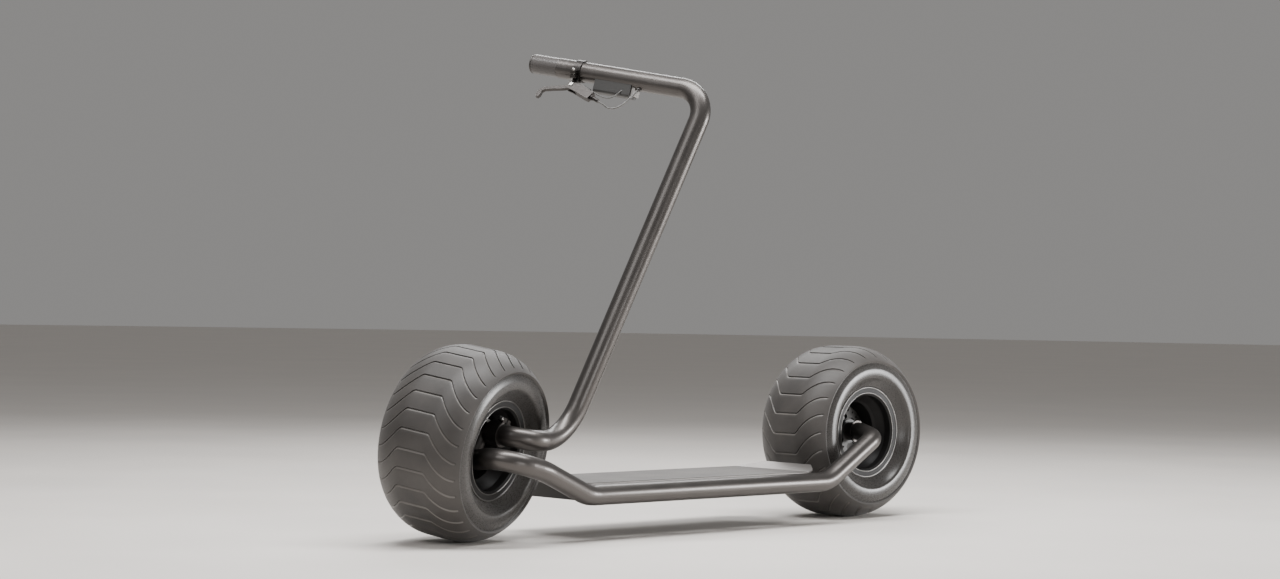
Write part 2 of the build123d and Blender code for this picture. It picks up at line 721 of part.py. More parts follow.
def rear_axle():
    return turned([
        (52, 0), (52, AXLE_R), (MOTOR_RIGHT - 10, AXLE_R), (MOTOR_RIGHT - 10, 9), (REAR_AXLE_END, 9),
        (REAR_AXLE_END, 0)
    ])


def rear_boss(path):
    """Boss welded to the rail's rear end, which holds the axle."""
    end = path @ 1 - REAR_CENTRE
    outward = path % 1
    boss = ring(20, 52, 24, AXLE_R)
    plate = rod((0, 52, 0), (0, 56, 0), 29)
    spigot = rod(end - outward * 22, end + outward * 25, TUBE_R - TUBE_WALL)
    beyond = block((-60, -20, -60), (60, 53.5, 60))
    return joined(boss, plate, spigot - beyond)


def brake_rotor():
    disc = ring(ROTOR_Y, ROTOR_Y + ROTOR_T, ROTOR_R, 19)
    screw = rod((0, ROTOR_Y - 1, 0), (0, ROTOR_Y + 4, 0), 2)
    slots = around_wheel(rod((0, ROTOR_Y - 1, 0), (0, ROTOR_Y + 4, 0), 3), 56, range(0, 360, 20))
    windows = around_wheel(rod((0, ROTOR_Y - 1, 0), (0, ROTOR_Y + 4, 0), 7), 38, range(0, 360, 45))
    return disc - around_wheel(screw, 24, range(0, 360, 72)) - slots - windows


def rear_wheel_screws():
    """Button screws of the brake rotor and flat screws of the motor's cover."""
    screw = rod((0, ROTOR_Y - 7, 0), (0, ROTOR_Y + ROTOR_T, 0), 2)
    head = rod((0, ROTOR_Y + ROTOR_T, 0), (0, ROTOR_Y + ROTOR_T + 2, 0), 3.6)
    return group([*around_wheel(screw + head, 24, range(0, 360, 72)), *cover_screws()])


def at_caliper(solid):
    """Turn a piece made on +X to the caliper's place, below and ahead of the axle."""
    return Rot(0, CALIPER_ANGLE, 0) * solid


def caliper():
    body = block((42, 2.5, -21), (75, 23, 21))
    rotor_slot = ring(ROTOR_Y - 1.2, ROTOR_Y + ROTOR_T + 1.2, ROTOR_R + 1.5, 5)
    pad_bay = block((43, ROTOR_Y - 5.6, -13), (66, ROTOR_Y + ROTOR_T + 5.6, 13))
    piston_bore = rod((55, 0, 0), (55, 30, 0), 7 + RUNNING)
    edges = body.edges().filter_by(Axis.Y)
    screw_holes = [rod((68, 19, z), (68, 24, z), 2.5) for z in (-5, 5)]
    return at_caliper(fillet(edges, 4) - rotor_slot - pad_bay - piston_bore - screw_holes)


def inner_pad():
    """Pad on the right of the rotor. It moves left."""
    y1 = ROTOR_Y - PAD_GAP
    return at_caliper(block((44.5, y1 - 3.2, -12), (64.5, y1, 12)))


def outer_pad():
    """Pad on the left of the rotor with its piston. It moves right."""
    y0 = ROTOR_Y + ROTOR_T + PAD_GAP
    piston = rod((55, y0 + 3.2, 0), (55, y0 + 12, 0), 7)
    return at_caliper(joined(block((44.5, y0, -12), (64.5, y0 + 3.2, 12)), piston))


def caliper_bracket():
    collar = ring(23, 28, 32, 24)
    arm = block((26, 23, -10), (74, 28, 10))
    way = rod((55, 20, 0), (55, 30, 0), 9)
    hub_hole = rod((0, 20, 0), (0, 30, 0), 24)
    screws = [rod((68, 20, z), (68, 30, z), 2.5) for z in (-5, 5)]
    return at_caliper(joined(collar, arm) - way - hub_hole - screws)


def caliper_screws():
    heads = [rod((68, 20, z), (68, 28, z), 2.5) + rod((68, 28, z), (68, 31, z), 4) for z in (-5, 5)]
    return at_caliper(group(heads))


def caliper_inlet():
    """Inlet block over the caliper's piston. Its outer end takes the brake pipe."""
    hub = rod((55, 28, 0), (55, INLET_LEFT, 0), 8)
    arm = block((52, 31, -24), (62, INLET_LEFT, 0))
    return at_caliper(joined(hub, arm))


def pipe_exit():
    """The point on the rail's centre line above the hole where the brake pipe comes out."""
    return REAR_TURN + (RAIL_REAR - REAR_TURN) * 0.68


def rail_brake_pipe(path):
    """Formed pipe inside the rail, then out beside the hub to the caliper's inlet."""
    low = pipe_exit()
    low.Z = TYRE_R - INLET_DROP
    points = [
        RAIL_FRONT + (path % 0) * 30,
        FRONT_TURN,
        FRONT_RISE,
        (RAIL_CORNER_X, RAIL_Y, RAIL_Z),
        (-RAIL_CORNER_X, RAIL_Y, RAIL_Z),
        REAR_TURN,
        pipe_exit(),
        low,
        Vector(low.X, INLET_LEFT, low.Z),
    ]
    radii = [60, 150, 110, 110, ELBOW_R, 20, 20]
    line = FilletPolyline(*points, radius=radii)
    solid = cord(line, HOSE_R)
    report_cord("rail brake pipe", radii, line, solid, HOSE_R)
    return solid


# Deck

def deck_outline(z, inset=0.0, front_inset=0.0):
    """The deck's outline ahead of the crease, with rounded front corners."""
    outline = polygon(
        (DECK_CREASE, DECK_RIGHT + inset),
        (DECK_FRONT - front_inset, DECK_RIGHT + inset),
        (DECK_FRONT - front_inset, DECK_LEFT - inset),
        (DECK_CREASE, DECK_LEFT - inset),
    )
    front = outline.vertices().group_by(Axis.X)[-1]
    return Pos(0, 0, z) * fillet(front, DECK_CORNER_R)


def deck_plate():
    """Aluminium deck with a tail flap bent up in front of the rear tyre."""
    z1 = DECK_TOP - MAT_T
    z0 = z1 - PLATE_T
    profile = polygon(
        (DECK_FRONT, z0), (DECK_FRONT, z1), (DECK_CREASE, z1), (DECK_TAIL, z1 + TAIL_RISE),
        (DECK_TAIL, z1 + TAIL_RISE - PLATE_T), (DECK_CREASE, z0)
    )
    side = Plane(origin=(0, DECK_LEFT, 0), x_dir=(1, 0, 0), z_dir=(0, -1, 0))
    bent = extrude(side * profile, DECK_LEFT - DECK_RIGHT)
    flap = polygon(
        (DECK_CREASE + 60, DECK_RIGHT), (DECK_CREASE, DECK_RIGHT), (DECK_TAIL, -55),
        (DECK_TAIL, DECK_LEFT - 20), (DECK_TAIL + 16, DECK_LEFT), (DECK_CREASE + 60, DECK_LEFT)
    )
    tail = fillet(flap.vertices().group_by(Axis.X)[0], 10)
    return (bent & extrude(joined(deck_outline(0), tail), 2 * DECK_TOP)) - plate_screws()


def deck_mat():
    return extrude(deck_outline(DECK_TOP - MAT_T, 7.0, 7.0), MAT_T)


TRAY_X0, TRAY_X1 = -362.0, 376.0
TRAY_Y0, TRAY_Y1 = -131.0, 124.0
TRAY_Z0 = 90.0
TRAY_WALL = 3.0
LUG_XS = (-320.0, -110.0, 110.0, 320.0)
LUG_BOLT_R, LUG_BOLT_TIP_Y = 4.0, 134.0
LUG_BOLT_XS = [x + dx for x in LUG_XS for dx in (-12, 12)]
POST_SPOTS = [(x, y) for x in (-350.0, -60.0, 60.0, 350.0) for y in (-121.0, 113.5)]


def deck_tray():
    """Sealed tray under the deck for the battery and the controller."""
    top = DECK_TOP - MAT_T - PLATE_T
    outer = block((TRAY_X0, TRAY_Y0, TRAY_Z0), (TRAY_X1, TRAY_Y1, top))
    outer = fillet(outer.edges().filter_by(Axis.Z), 14)
    low = (TRAY_X0 + TRAY_WALL, TRAY_Y0 + TRAY_WALL, TRAY_Z0 + TRAY_WALL)
    inner = block(low, (TRAY_X1 - TRAY_WALL, TRAY_Y1 - TRAY_WALL, top + 1))
    inner = fillet(inner.edges().filter_by(Axis.Z), 11)
    posts = [rod((x, y, TRAY_Z0), (x, y, top), 8) for x, y in POST_SPOTS]
    threads = [rod((x, y, top - 20), (x, y, top + 1), 2.5) for x, y in POST_SPOTS]
    inside, outside = TRAY_Y1 - TRAY_WALL - 1, TRAY_Y1 + 1
    holes = [rod((x, inside, RAIL_Z), (x, outside, RAIL_Z), LUG_BOLT_R) for x in LUG_BOLT_XS]
    return joined(outer - inner, *posts) - threads - holes


def lug_bolt_shanks():
    inside = TRAY_Y1 - TRAY_WALL
    return [rod((x, inside, RAIL_Z), (x, LUG_BOLT_TIP_Y, RAIL_Z), LUG_BOLT_R) for x in LUG_BOLT_XS]


def rail_lugs():
    """Welded lugs that carry the tray on the rail."""
    rail = rod((-400, RAIL_Y, RAIL_Z), (400, RAIL_Y, RAIL_Z), TUBE_R)
    lugs = []
    for x in LUG_XS:
        lug = block((x - 22, TRAY_Y1, 96), (x + 22, RAIL_Y - 8, 124))
        lugs.append(lug - rail - lug_bolt_shanks())
    return group(lugs)


def plate_screw():
    """Countersunk screw, its head's top at z = 0."""
    cone = Pos(0, 0, -1.5) * Cone(2.5, 5, 3)
    return cone + Pos(0, 0, -9) * Cylinder(2.5, 16)


def plate_screws():
    return [Pos(x, y, DECK_TOP - MAT_T) * plate_screw() for x, y in POST_SPOTS]


def deck_fasteners():
    """Bolts through the tray's wall into the rail lugs, and the plate's screws under the mat."""
    inside = TRAY_Y1 - TRAY_WALL
    bolts = []
    for shank, x in zip(lug_bolt_shanks(), LUG_BOLT_XS):
        bolts.append(shank + rod((x, inside - 6, RAIL_Z), (x, inside, RAIL_Z), 6.5))
    return group(bolts + plate_screws())


def battery_pack():
    pack = block((-150, -112, TRAY_Z0 + TRAY_WALL), (330, 86, TRAY_Z0 + TRAY_WALL + 30))
    return fillet(pack.edges().filter_by(Axis.Z), 8)


def motor_controller():
    body = block((-330, -70, TRAY_Z0 + TRAY_WALL), (-190, 40, TRAY_Z0 + TRAY_WALL + 24))
    fin_low, fin_high = TRAY_Z0 + TRAY_WALL + 20, TRAY_Z0 + TRAY_WALL + 26
    gaps = [block((-330, y, fin_low), (-190, y + 6, fin_high)) for y in range(-60, 40, 14)]
    return body - gaps


def build_rear():
    path = rail_path()
    place = Pos(*REAR_CENTRE)
    pieces = {
        "rear_tyre": tyre(),
        "rear_rim": rim(),
        "rear_valve": valve(),
        "rear_wheel_bolts": group([wheel_bolts(MOTOR_LEFT - 10), rear_wheel_screws()]),
        "motor_case": motor_case(),
        "motor_cover": motor_cover(),
        "motor_magnets": motor_magnets(),
        "motor_stator": motor_stator(),
        "motor_bearings": hub_bearings(MOTOR_LEFT, MOTOR_RIGHT - 4),
        "brake_rotor": brake_rotor(),
        "rear_axle": rear_axle(),
        "rear_axle_nut": axle_nut(MOTOR_RIGHT - 10),
        "rear_axle_boss": rear_boss(path),
        "brake_caliper": caliper(),
        "brake_pad_inner": inner_pad(),
        "brake_pad_outer": outer_pad(),
        "caliper_bracket": caliper_bracket(),
        "caliper_screws": caliper_screws(),
        "caliper_inlet": caliper_inlet(),
    }
    return {name: place * piece for name, piece in pieces.items()}


def build_front_wheel():
    pieces = {
        "front_tyre": tyre(),
        "front_rim": rim(),
        "front_valve": valve(),
        "front_wheel_bolts": wheel_bolts_and_nuts(DISC_Y - DISC_T - 7),
        "front_hub": front_hub(),
        "front_hub_bearings": hub_bearings(HUB_LEFT, HUB_RIGHT),
        "front_axle": front_axle(),
        "front_axle_nut": axle_nut(HUB_RIGHT - 3),
        "front_dust_cap": dust_cap(HUB_RIGHT),
    }
    return {name: Pos(*STRAIGHT_CENTRE) * piece for name, piece in pieces.items()}


def build_steering():
    path = stem_path()
    return {
        "handlebar_stem": handlebar(path),
        "steering_knuckle": steering_knuckle(path),
        "kingpin_bushes": kingpin_bushes(),
        "grip_core": grip_core(),
        "throttle_collar": throttle_collar(),
        "twist_grip": twist_grip(),
        "bar_end_cap": bar_end_cap(),
        "lever_bracket": lever_bracket(),
        "clamp_bolts": group([lever_clamp_bolt(), *stem_clamp_bolts(path)]),
        "lever_pivot_pin": pivot_pin(),
        "brake_lever": brake_lever(),
        "hose_nut": hose_nut(),
        "master_piston": master_piston(),
        "brake_switch": brake_switch(),
        "brake_hose": brake_hose(),
        "stem_brake_pipe": stem_brake_pipe(),
        "hose_grommet": hose_grommet(),
        "switch_wire": switch_wire(),
        "bar_pod": bar_pod(),
        "pod_end_cap": pod_end_cap(),
    }


def build_frame():
    path = rail_path()
    return {
        "frame_rail": frame_rail(path),
        "rail_brake_pipe": rail_brake_pipe(path),
        "kingpin_lug": kingpin_lug(path),
        "kingpin": kingpin(),
        "kingpin_hardware": kingpin_hardware(),
        "rail_lugs": rail_lugs(),
        "deck_fasteners": deck_fasteners(),
        "deck_plate": deck_plate(),
        "deck_mat": deck_mat(),
        "deck_tray": deck_tray(),
        "battery_pack": battery_pack(),
        "motor_controller": motor_controller(),
    }


def main():
    os.makedirs("parts", exist_ok=True)
    steered = {**build_front_wheel(), **build_steering()}
    nodes = {name: piece.rotate(KING_AXIS, REST_STEER) for name, piece in steered.items()}
    nodes |= {**build_frame(), **build_rear()}
    shift = Pos(-ORIGIN_X, -ORIGIN_Y, 0)
    for name, piece in nodes.items():
        export_step(shift * piece, f"parts/{name}.step")
    print(len(nodes), "nodes")


if __name__ == "__main__":
    main()
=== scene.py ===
import json
import math

import bpy
from mathutils import Matrix, Vector


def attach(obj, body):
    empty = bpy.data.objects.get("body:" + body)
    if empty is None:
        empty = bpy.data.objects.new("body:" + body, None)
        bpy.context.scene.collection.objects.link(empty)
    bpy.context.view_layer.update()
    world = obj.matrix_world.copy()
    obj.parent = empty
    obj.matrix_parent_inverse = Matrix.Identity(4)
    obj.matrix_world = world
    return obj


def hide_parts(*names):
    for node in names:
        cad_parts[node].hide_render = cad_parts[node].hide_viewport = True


# Looks of a stand-up scooter: two treaded tyres, the rims' rolled edges, the flexible hose and
# wire under the bar, and a procedural material for every CAD piece.
# Metres, in the frame of the CAD model.

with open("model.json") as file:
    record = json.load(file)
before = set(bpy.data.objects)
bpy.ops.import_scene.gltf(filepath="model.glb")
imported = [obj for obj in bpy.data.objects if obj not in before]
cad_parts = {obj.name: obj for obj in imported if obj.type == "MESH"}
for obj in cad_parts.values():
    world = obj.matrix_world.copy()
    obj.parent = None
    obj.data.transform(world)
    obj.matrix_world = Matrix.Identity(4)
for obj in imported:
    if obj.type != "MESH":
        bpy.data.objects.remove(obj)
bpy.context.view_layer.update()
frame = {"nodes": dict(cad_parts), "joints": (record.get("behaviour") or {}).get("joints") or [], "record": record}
NODES = frame["nodes"]
JOINTS = {joint["name"]: joint for joint in frame["joints"]}
MM = 0.001


# Materials

def new_material(name):
    material = bpy.data.materials.new(name)
    material.use_nodes = True
    return material, material.node_tree, material.node_tree.nodes["Principled BSDF"]


def add(tree, kind, **inputs):
    node = tree.nodes.new(kind)
    for key, value in inputs.items():
        node.inputs[key.replace("_", " ")].default_value = value
    return node


def noise(tree, scale, detail=4.0, roughness=0.55, stretch=None):
    """Noise over the object's own space. stretch squeezes it along an axis, as brushing does."""
    place = tree.nodes.new("ShaderNodeTexCoord")
    texture = add(tree, "ShaderNodeTexNoise", Scale=scale, Detail=detail, Roughness=roughness)
    source = place.outputs["Object"]
    if stretch:
        mapping = add(tree, "ShaderNodeMapping", Scale=stretch)
        tree.links.new(source, mapping.inputs["Vector"])
        source = mapping.outputs["Vector"]
    tree.links.new(source, texture.inputs["Vector"])
    return texture.outputs["Fac"]


def ramp(tree, source, stops):
    node = tree.nodes.new("ShaderNodeValToRGB")
    elements = node.color_ramp.elements
    while len(elements) < len(stops):
        elements.new(0.5)
    for element, (position, colour) in zip(elements, stops):
        element.position = position
        element.color = (*colour, 1)
    tree.links.new(source, node.inputs["Fac"])
    return node.outputs["Color"]


def spread(tree, source, low, high):
    """Maps a noise's middle range onto low to high."""
    node = add(tree, "ShaderNodeMapRange", From_Min=0.3, From_Max=0.7, To_Min=low, To_Max=high)
    tree.links.new(source, node.inputs["Value"])
    return node.outputs["Result"]


def mix(tree, factor, first, second):
    node = tree.nodes.new("ShaderNodeMix")
    node.data_type = "RGBA"
    tree.links.new(factor, node.inputs["Factor"])
    for value, socket in ((first, node.inputs["A"]), (second, node.inputs["B"])):
        if isinstance(value, tuple):
            socket.default_value = (*value, 1)
        else:
            tree.links.new(value, socket)
    return node.outputs["Result"]


def bump(tree, bsdf, source, strength, distance):
    node = add(tree, "ShaderNodeBump", Strength=strength, Distance=distance)
    tree.links.new(source, node.inputs["Height"])
    tree.links.new(node.outputs["Normal"], bsdf.inputs["Normal"])


def shade(colour, factor):
    return tuple(channel * factor for channel in colour)


def surface(name, colour, metallic=0.0, rough=(0.4, 0.5), grain=900.0, blotch=14.0, variation=0.12,
            depth=0.00004, stretch=None, coat=0.0, specular=0.5):
    """Paint, metal or plastic: blotchy colour and gloss, and a fine grain."""
    material, tree, bsdf = new_material(name)
    large = noise(tree, blotch, 5.0)
    base = ramp(tree, large, [(0.3, shade(colour, 1 - variation)), (0.7, shade(colour, 1 + variation))])
    tree.links.new(base, bsdf.inputs["Base Color"])
    fine = noise(tree, grain, 3.0, stretch=stretch)
    tree.links.new(spread(tree, fine if stretch else large, *rough), bsdf.inputs["Roughness"])
    bump(tree, bsdf, fine, 0.35, depth)
    bsdf.inputs["Metallic"].default_value = metallic
    bsdf.inputs["Coat Weight"].default_value = coat
    bsdf.inputs["Coat Roughness"].default_value = 0.12
    bsdf.inputs["Specular IOR Level"].default_value = specular
    return material


def rubber(name, colour, dust=0.25, rough=(0.5, 0.66)):
    """Rubber with a fine moulded grain and pale dust in patches."""
    material, tree, bsdf = new_material(name)
    patches = noise(tree, 9.0, 7.0, 0.6)
    speck = noise(tree, 420.0, 3.0)
    base = ramp(tree, patches, [(0.32, shade(colour, 0.86)), (0.7, shade(colour, 1.12))])
    dusty = spread(tree, patches, 0.0, dust)
    base = mix(tree, dusty, base, (0.19, 0.175, 0.16))
    tree.links.new(base, bsdf.inputs["Base Color"])
    tree.links.new(spread(tree, speck, *rough), bsdf.inputs["Roughness"])
    bump(tree, bsdf, speck, 0.4, 0.00012)
    bsdf.inputs["Specular IOR Level"].default_value = 0.45
    bsdf.inputs["Sheen Weight"].default_value = 0.08
    bsdf.inputs["Sheen Roughness"].default_value = 0.5
    return material


GUNMETAL = (0.082, 0.075, 0.071)
MATERIALS = {
    "tube_paint": surface("tube_paint", GUNMETAL, 0.85, (0.35, 0.42), grain=1500, variation=0.05, coat=0.2),
    # The knuckle paint is the tube paint at half brightness: painted shade for the knuckle inside the front rim.
    "knuckle_paint": surface("knuckle_paint", shade(GUNMETAL, 0.5), 0.7, (0.38, 0.46), grain=900),
    "tyre_rubber": rubber("tyre_rubber", (0.03, 0.0265, 0.0245), dust=0.13, rough=(0.46, 0.6)),
    "tyre_wall": rubber("tyre_wall", (0.022, 0.02, 0.0185), dust=0.08, rough=(0.24, 0.33)),
    # Lighter rubber for the grooves' bevels: a painted highlight along each groove, with dust patches on top.
    "tyre_bevel_painted_highlight": rubber("tyre_bevel_painted_highlight", (0.105, 0.097, 0.09), dust=0.3, rough=(0.34, 0.46)),
    "rim_paint": surface("rim_paint", (0.011, 0.0105, 0.0105), 0.0, (0.38, 0.5), specular=0.16),
    # Bright metal on the rims' rolled edges: painted highlight lines against the black rim paint.
    "rolled_edge_painted_highlight": surface("rolled_edge_painted_highlight", (0.17, 0.165, 0.16), 0.9, (0.26, 0.34), variation=0.06),
    # The brake rotor's steel is darkened: painted shade for its place deep inside the rear wheel.
    "rotor_steel_painted_shade": surface("rotor_steel_painted_shade", (0.035, 0.034, 0.033), 0.9, (0.42, 0.52), grain=700,
                           variation=0.08),
    "knob_alloy": surface("knob_alloy", (0.1, 0.093, 0.089), 0.9, (0.34, 0.42), grain=900, variation=0.05),
    "pipe_steel": surface("pipe_steel", (0.3, 0.29, 0.28), 0.9, (0.3, 0.4), grain=1200),
    "deck_metal": surface("deck_metal", (0.25, 0.235, 0.225), 0.8, (0.34, 0.44), variation=0.08),
    "deck_grip": rubber("deck_grip", (0.1, 0.092, 0.087), dust=0.25),
    "tray_metal": surface("tray_metal", (0.05, 0.048, 0.046), 0.4, (0.4, 0.5), grain=1200),
    "battery_wrap": surface("battery_wrap", (0.02, 0.05, 0.14), 0.0, (0.3, 0.4)),
    "cast_alloy": surface("cast_alloy", (0.055, 0.053, 0.05), 0.7, (0.4, 0.52), grain=500, depth=0.00012),
    "lever_alloy": surface("lever_alloy", (0.06, 0.056, 0.054), 1.0, (0.34, 0.44), grain=700, variation=0.05,
                           stretch=(1.0, 9.0, 1.0)),
    "steel": surface("steel", (0.55, 0.54, 0.52), 1.0, (0.24, 0.36), grain=900, variation=0.06),
    "bronze": surface("bronze", (0.5, 0.33, 0.14), 1.0, (0.35, 0.45)),
    "brake_black": surface("brake_black", (0.03, 0.03, 0.03), 0.2, (0.4, 0.5), grain=600),
    "pad_compound": surface("pad_compound", (0.1, 0.09, 0.08), 0.3, (0.7, 0.85), grain=300, depth=0.0002),
    "hose_black": surface("hose_black", (0.09, 0.087, 0.084), 0.0, (0.25, 0.35), grain=1800, coat=0.4),
    "wire_black": surface("wire_black", (0.07, 0.067, 0.065), 0.0, (0.3, 0.4)),
    "grip_rubber": rubber("grip_rubber", (0.055, 0.05, 0.048), dust=0.05, rough=(0.3, 0.38)),
    "black_plastic": surface("black_plastic", (0.03, 0.029, 0.028), 0.0, (0.42, 0.55), grain=800,
                             depth=0.00008),
    "grey_plastic": surface("grey_plastic", (0.3, 0.29, 0.28), 0.0, (0.35, 0.45), grain=800),
}


NODE_MATERIALS = {"brake_rotor": "rotor_steel_painted_shade", "throttle_collar": "knob_alloy", "bar_end_cap": "knob_alloy"}


def dress_cad_nodes():
    """Every CAD node takes the material of its own slot, or its own one from NODE_MATERIALS."""
    for row in frame["record"]["subparts"]:
        mesh = NODES[row["node"]].data
        mesh.materials.clear()
        mesh.materials.append(MATERIALS[NODE_MATERIALS.get(row["node"], row["material_slot"])])


# Pieces

def mesh_piece(name, verts, faces, material, body, replaced=(), smooth_angle=35.0):
    mesh = bpy.data.meshes.new(name)
    mesh.from_pydata(verts, [], faces)
    mesh.validate()
    mesh.materials.append(MATERIALS[material])
    piece = bpy.data.objects.new(name, mesh)
    bpy.context.scene.collection.objects.link(piece)
    mesh.shade_smooth()
    mesh.set_sharp_from_angle(angle=math.radians(smooth_angle))
    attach(piece, body)
    if replaced:
        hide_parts(*replaced)
    return piece


def wheel_matrix(joint_name):
    """Takes the wheel's own axes, with the axle along Y, to the row frame."""
    joint = JOINTS[joint_name]
    axis = Vector(joint["axis"]).normalized()
    turn = Vector((0, 1, 0)).rotation_difference(axis)
    return Matrix.Translation(Vector(joint["pos_m"])) @ turn.to_matrix().to_4x4()


# Tyres, in millimetres about the axle

TYRE_R, TREAD_FLAT = 228.6, 32.0
SHOULDER_Y, SHOULDER_R = 114.0, 191.5
CREST_Y, CREST_R = 116.5, 160.5
FLANGE_Y, FLANGE_R = 88.0, 120.0
SEAT_R, CARCASS = 101.6, 11.0

GROOVE_D = 3.2
# One side of a groove is a soft bevel and the other a steep wall
GROOVE_SECTION = ((-5.4, 0.0), (-4.2, 0.14), (-1.4, 0.8), (-0.4, 1.0), (0.6, 0.95), (1.1, 0.0))
ARM_START, ARM_END = 39.0, 113.0    # along the profile from the middle of the tread
ARM_RISE = 60.0             # how far round the tyre an arm runs
ARM_CURVE = 1.7
GROOVE_FADE = 3.0           # a groove runs out to nothing over this length
BLOCK_STEPS = 6             # faces across the block between two grooves
BEVEL_FACES = 2             # faces of a groove's section that take the lighter rubber, a painted highlight
TREAD, WALL, PAINTED_HIGHLIGHT_BEVEL = 0, 1, 2    # the tyre's material slots


def arc(start, middle, end, count):
    """Points on the circle through three points, without the first."""
    (ax, ay), (bx, by), (cx, cy) = start, middle, end
    d = 2 * (ax * (by - cy) + bx * (cy - ay) + cx * (ay - by))
    ux = ((ax**2 + ay**2) * (by - cy) + (bx**2 + by**2) * (cy - ay) + (cx**2 + cy**2) * (ay - by)) / d
    uy = ((ax**2 + ay**2) * (cx - bx) + (bx**2 + by**2) * (ax - cx) + (cx**2 + cy**2) * (bx - ax)) / d
    radius = math.hypot(ax - ux, ay - uy)
    angles = [math.atan2(y - uy, x - ux) for x, y in (start, middle, end)]
    sweep = (angles[2] - angles[0]) % math.tau
    if (angles[1] - angles[0]) % math.tau > sweep:
        sweep -= math.tau
    steps = [angles[0] + sweep * i / count for i in range(1, count + 1)]
    return [(ux + radius * math.cos(a), uy + radius * math.sin(a)) for a in steps]


def tyre_half_profile():
    """(y, radius) from the middle of the tread to the inside of the bead, on the left."""
    rise = TYRE_R - SHOULDER_R
    across = SHOULDER_Y - TREAD_FLAT
    round_r = (across**2 + rise**2) / (2 * rise)
    span = math.asin(across / round_r)
    points = [(TREAD_FLAT * i / 12, TYRE_R) for i in range(13)]
    rows = 34
    for i in range(1, rows + 1):
        a = span * i / rows
        points.append((TREAD_FLAT + round_r * math.sin(a), TYRE_R - round_r * (1 - math.cos(a))))
    points += [(SHOULDER_Y - 0.8, SHOULDER_R - 1.8), (SHOULDER_Y - 2.2, SHOULDER_R - 4.5)]
    wall_start = len(points)
    valley = (SHOULDER_Y - 3.6, SHOULDER_R - 7.0)
    points += [valley] + arc(valley, (CREST_Y - 2.2, CREST_R + 14.0), (CREST_Y - 0.7, CREST_R + 9.0), 8)
    points += arc(points[-1], (CREST_Y, CREST_R), (CREST_Y - 0.7, CREST_R - 9.0), 16)
    points += arc(points[-1], (CREST_Y - 2.2, CREST_R - 12.5), (CREST_Y - 5.6, CREST_R - 16.5), 10)
    points += arc(points[-1], (100.5, 134), (FLANGE_Y + 4, FLANGE_R + 3), 14)
    points += [(FLANGE_Y, FLANGE_R), (FLANGE_Y, SEAT_R + 3), (FLANGE_Y - 3, SEAT_R), (FLANGE_Y - 20, SEAT_R)]
    points += [(FLANGE_Y - 16, SEAT_R + 12), (SHOULDER_Y - 2 * CARCASS, SHOULDER_R)]
    points.append((TREAD_FLAT, TYRE_R - CARCASS))
    return points, wall_start


def groove_shift(along):
    """How far round the tyre a groove has moved at a place on the profile, in millimetres."""
    run = abs(along)
    soft, slope = 5.0, ARM_CURVE * ARM_RISE / (ARM_END - ARM_START)
    near = run - ARM_START
    if near < -soft:
        return 0.0
    if near < soft:
        return slope * (near + soft) ** 2 / (4 * soft)
    t = min(near / (ARM_END - ARM_START), 1.0)
    return ARM_RISE * (1 - (1 - t) ** ARM_CURVE)


def tyre(name, joint_name, body, node, direction, pitches):
    """Treaded tyre with its arms swept one way, and a number of tread blocks round it."""
    half, wall_start = tyre_half_profile()
    profile = [(-y, r) for y, r in reversed(half[1:])] + half
    middle = len(half) - 1
    along = [0.0] * len(profile)
    for i in range(middle + 1, len(profile)):
        along[i] = along[i - 1] + math.dist(profile[i], profile[i - 1])
    for i in range(middle - 1, -1, -1):
        along[i] = along[i + 1] - math.dist(profile[i], profile[i + 1])
    pitch = math.tau / pitches
    edge = GROOVE_SECTION[-1][0] / TYRE_R
    gap = pitch - edge + GROOVE_SECTION[0][0] / TYRE_R
    verts, faces, indices = [], [], []
    for (y, r), run in zip(profile, along):
        depth = GROOVE_D * max(0.0, min(1.0, (ARM_END - abs(run)) / GROOVE_FADE))
        shift = direction * groove_shift(run) / TYRE_R
        spots = [(o / TYRE_R, d * depth) for o, d in GROOVE_SECTION]
        spots += [(edge + gap * i / BLOCK_STEPS, 0.0) for i in range(1, BLOCK_STEPS)]
        for k in range(pitches):
            for turn, sunk in spots:
                a = k * pitch + shift + turn
                verts.append(((r - sunk) * math.cos(a) * MM, y * MM, (r - sunk) * math.sin(a) * MM))
    pitch_columns = len(GROOVE_SECTION) + BLOCK_STEPS - 1
    columns = pitches * pitch_columns
    rows = len(profile)
    for i in range(rows):
        j = (i + 1) % rows
        wall = abs(i - middle) >= wall_start or abs(j - middle) >= wall_start
        grooved = max(abs(along[i]), abs(along[j])) < ARM_END - 1
        for c in range(columns):
            d = (c + 1) % columns
            faces.append((i * columns + c, i * columns + d, j * columns + d, j * columns + c))
            # The bevel faces get the lighter rubber, which paints a highlight beside each groove.
            bevel = grooved and c % pitch_columns < BEVEL_FACES
            indices.append(WALL if wall else PAINTED_HIGHLIGHT_BEVEL if bevel else TREAD)
    matrix = wheel_matrix(joint_name)
    verts = [matrix @ Vector(v) for v in verts]
    piece = mesh_piece(name, verts, faces, "tyre_rubber", body, [node], smooth_angle=32.0)
    piece.data.materials.append(MATERIALS["tyre_wall"])
    piece.data.materials.append(MATERIALS["tyre_bevel_painted_highlight"])
    piece.data.polygons.foreach_set("material_index", indices)
    return piece


# Rims

def lathed(profile, matrix, steps):
    """Vertices and faces of a closed (y, radius) section turned about the axle."""
    verts, faces = [], []
    rows = len(profile)
    for c in range(steps):
        a = math.tau * c / steps
        verts += [matrix @ Vector((r * math.cos(a), y, r * math.sin(a))) for y, r in profile]
    for c in range(steps):
        d = (c + 1) % steps
        for i in range(rows):
            j = (i + 1) % rows
            faces.append((c * rows + i, d * rows + i, d * rows + j, c * rows + j))
    return verts, faces


# (y, radius, section radius) of the flange's lip and of the bead seat's corner
ROLLS = ((91.0, 119.0, 1.7), (89.6, 104.6, 1.3))
ROLL_SIDES, ROLL_STEPS = 10, 160


